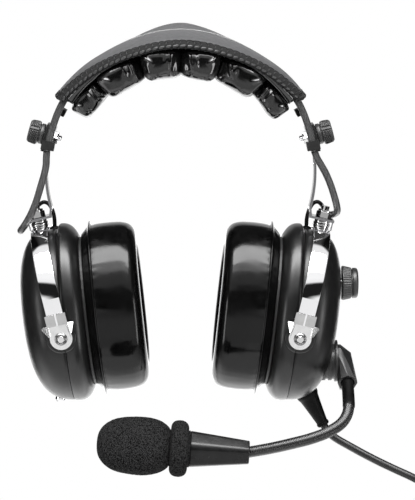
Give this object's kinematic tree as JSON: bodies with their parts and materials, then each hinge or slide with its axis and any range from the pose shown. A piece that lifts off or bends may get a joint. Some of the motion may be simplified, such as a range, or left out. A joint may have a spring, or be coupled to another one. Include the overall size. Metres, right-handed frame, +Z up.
{
  "type": "communication headset",
  "caption": "Over-ear headset with a padded spring headband, clamp size adjusters, swivelling stirrups, domed ear cups, a gooseneck boom microphone and a corded pair of plugs.",
  "frame": {"origin": "the middle of the wearer's head, halfway between the faces of the two ear cushions", "axes": "+Z up as worn, -Y the way the wearer faces, +X towards the cup that carries the boom (the wearer's left)"},
  "size_m": [0.2815, 0.1525, 0.5038],
  "materials": {
    "chrome_steel": "polished nickel-chrome plate",
    "satin_steel": "satin zinc plate",
    "pad_hide": "dark grey grained hide, stitched at the edge",
    "cushion_vinyl": "black soft vinyl over foam",
    "shell_plastic": "black moulded plastic, fine matte grain",
    "clamp_plastic": "black moulded nylon",
    "volume_plastic": "black, glossy cap and knurled skirt",
    "cable_sleeve": "grey black sleeve",
    "cord_jacket": "black satin jacket",
    "moulded_rubber": "black moulded rubber",
    "ear_foam": "black open foam",
    "windscreen_foam": "black open-cell foam",
    "speaker_unit": "grey driver with a perforated front",
    "gooseneck_metal": "black coated flexible metal hose",
    "mic_plastic": "black moulded plastic",
    "mic_metal": "grey anodised",
    "plug_parts": "brass shaft in a black grip"
  },
  "bodies": {
    "headband": {"head_strap": "chrome_steel", "head_pad_cover": "pad_hide", "cushion_backing": "cushion_vinyl", "head_cushions": "cushion_vinyl", "left_clamp_guide": "chrome_steel", "right_clamp_guide": "chrome_steel", "left_cable_clip": "clamp_plastic", "right_cable_clip": "clamp_plastic", "cross_cable": "cable_sleeve"},
    "left_clamp": {"left_clamp_knob": "clamp_plastic", "left_clamp_screw": "chrome_steel"},
    "right_clamp": {"right_clamp_knob": "clamp_plastic", "right_clamp_screw": "chrome_steel"},
    "left_arm": {"left_hanger": "chrome_steel", "left_strap_cap": "moulded_rubber", "left_swivel_bolt": "satin_steel", "left_cable_turn": "cable_sleeve"},
    "right_arm": {"right_hanger": "chrome_steel", "right_strap_cap": "moulded_rubber", "right_swivel_bolt": "satin_steel", "right_cable_turn": "cable_sleeve"},
    "left_yoke": {"left_stirrup": "chrome_steel", "left_stirrup_ends": "satin_steel"},
    "right_yoke": {"right_stirrup": "chrome_steel", "right_stirrup_ends": "satin_steel"},
    "left_cup": {"left_outer_shell": "shell_plastic", "left_inner_shell": "shell_plastic", "left_seal_plate": "shell_plastic", "left_ear_cushion": "cushion_vinyl", "left_ear_foam": "ear_foam", "left_speaker": "speaker_unit", "left_pivot_studs": "satin_steel", "left_lead_grommet": "moulded_rubber", "left_cup_lead": "cord_jacket", "left_shell_screw": "chrome_steel"},
    "right_cup": {"right_outer_shell": "shell_plastic", "right_inner_shell": "shell_plastic", "right_seal_plate": "shell_plastic", "right_ear_cushion": "cushion_vinyl", "right_ear_foam": "ear_foam", "right_speaker": "speaker_unit", "right_pivot_studs": "satin_steel", "right_lead_grommet": "moulded_rubber", "right_cup_lead": "cord_jacket", "volume_control": "satin_steel", "boom_collar": "shell_plastic", "cord_boot": "moulded_rubber", "main_cord": "cord_jacket", "cord_coil": "cord_jacket", "cord_splitter": "moulded_rubber", "plug_leads": "cord_jacket", "headphone_plug": "plug_parts", "microphone_plug": "plug_parts"},
    "volume": {"volume_knob": "volume_plastic"},
    "boom": {"boom_block": "shell_plastic", "gooseneck": "gooseneck_metal", "mic_housing": "mic_plastic", "mic_capsule": "mic_metal", "windscreen": "windscreen_foam"}
  },
  "joints": [
    {"name": "left_clamp_turn", "type": "hinge", "parent": "headband", "child": "left_clamp", "pos_m": [-0.07854, 0, 0.10378], "axis": [-0.9636, 0, 0.2672], "continuous": true},
    {"name": "left_size_adjust", "type": "hinge", "parent": "headband", "child": "left_arm", "pos_m": [0, 0, 0.082], "axis": [0, -1, 0], "range_deg": [-10, 4], "deforming": ["left_cable_turn"]},
    {"name": "left_yaw", "type": "hinge", "parent": "left_arm", "child": "left_yoke", "pos_m": [-0.0695, 0, -0.011], "axis": [0.2334, 0, -0.9724], "range_deg": [-15, 15], "deforming": ["left_cup_lead"]},
    {"name": "left_tilt", "type": "hinge", "parent": "left_yoke", "child": "left_cup", "pos_m": [-0.0695, 0, -0.011], "axis": [0, -1, 0], "range_deg": [-12, 5], "deforming": ["left_cup_lead"]},
    {"name": "right_clamp_turn", "type": "hinge", "parent": "headband", "child": "right_clamp", "pos_m": [0.07854, 0, 0.10378], "axis": [0.9636, 0, 0.2672], "continuous": true},
    {"name": "right_size_adjust", "type": "hinge", "parent": "headband", "child": "right_arm", "pos_m": [0, 0, 0.082], "axis": [0, 1, 0], "range_deg": [-10, 4], "deforming": ["right_cable_turn"]},
    {"name": "right_yaw", "type": "hinge", "parent": "right_arm", "child": "right_yoke", "pos_m": [0.0695, 0, -0.011], "axis": [0.2334, 0, 0.9724], "range_deg": [-15, 15], "deforming": ["right_cup_lead"]},
    {"name": "right_tilt", "type": "hinge", "parent": "right_yoke", "child": "right_cup", "pos_m": [0.0695, 0, -0.011], "axis": [0, 1, 0], "range_deg": [-12, 5], "deforming": ["right_cup_lead"]},
    {"name": "volume_turn", "type": "hinge", "parent": "right_cup", "child": "volume", "pos_m": [0.0967, 0, 0.015], "axis": [1, 0, 0], "range_deg": [-135, 135]},
    {"name": "boom_swing", "type": "hinge", "parent": "right_cup", "child": "boom", "pos_m": [0.0945, -0.005, -0.0316], "axis": [-1, 0, 0], "range_deg": [-30, 60]}
  ]
}
